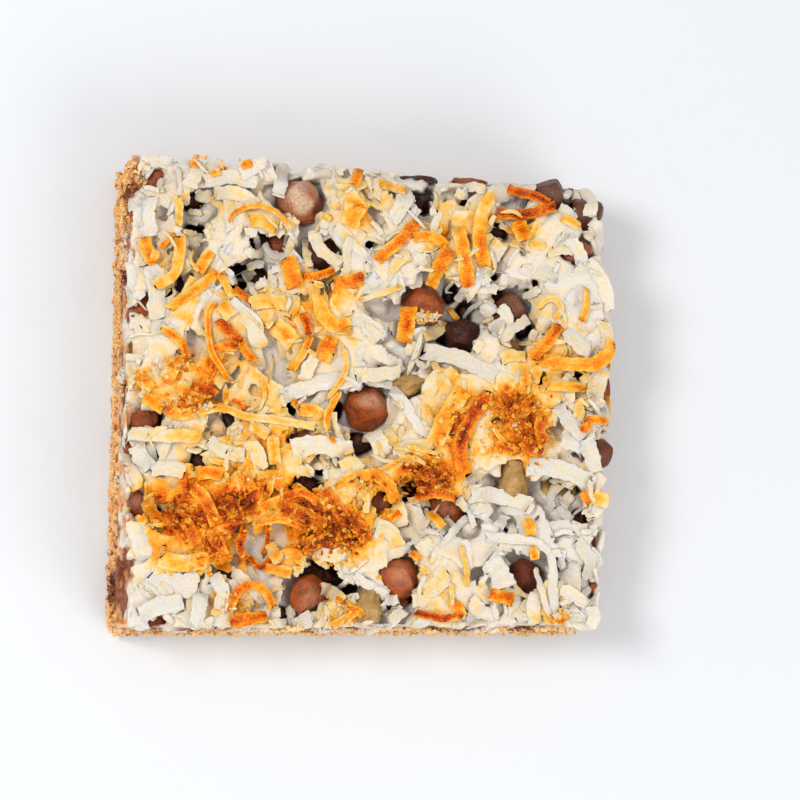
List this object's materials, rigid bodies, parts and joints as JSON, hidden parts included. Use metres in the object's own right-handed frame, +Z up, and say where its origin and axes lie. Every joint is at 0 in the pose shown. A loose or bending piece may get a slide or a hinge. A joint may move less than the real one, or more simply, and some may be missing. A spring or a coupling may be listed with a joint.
{
  "type": "coconut magic bar",
  "caption": "Square-cut layered tray-bake bar: crumb base, chocolate chip and walnut filling, rough bed of toasted coconut shreds.",
  "frame": {"origin": "middle of the underside, at the centre of the bar's box", "axes": "+X to the right and +Y to the back of the bar as the picture shows it from above, +Z up through the layers"},
  "size_m": [0.0881, 0.084, 0.0244],
  "materials": {
    "baked_crumb": "matt baked biscuit crumb",
    "milk_filling": "baked condensed milk with chocolate and nut pieces",
    "toasted_coconut": "satin milk-coated coconut shreds, toasted golden to brown in patches",
    "milk_chocolate": "satin chocolate with pale bloom",
    "walnut": "baked walnut"
  },
  "bodies": {
    "root": {"crumb_base": "baked_crumb", "chocolate_nut_layer": "milk_filling", "coconut_topping": "toasted_coconut", "chip_01": "milk_chocolate", "chip_02": "milk_chocolate", "chip_03": "milk_chocolate", "chip_04": "milk_chocolate", "chip_05": "milk_chocolate", "chip_06": "milk_chocolate", "chip_07": "milk_chocolate", "chip_08": "milk_chocolate", "chip_09": "milk_chocolate", "chip_10": "milk_chocolate", "chip_11": "milk_chocolate", "chip_12": "milk_chocolate", "chip_13": "milk_chocolate", "chip_14": "milk_chocolate", "walnut_01": "walnut", "walnut_02": "walnut", "walnut_03": "walnut"}
  },
  "joints": []
}
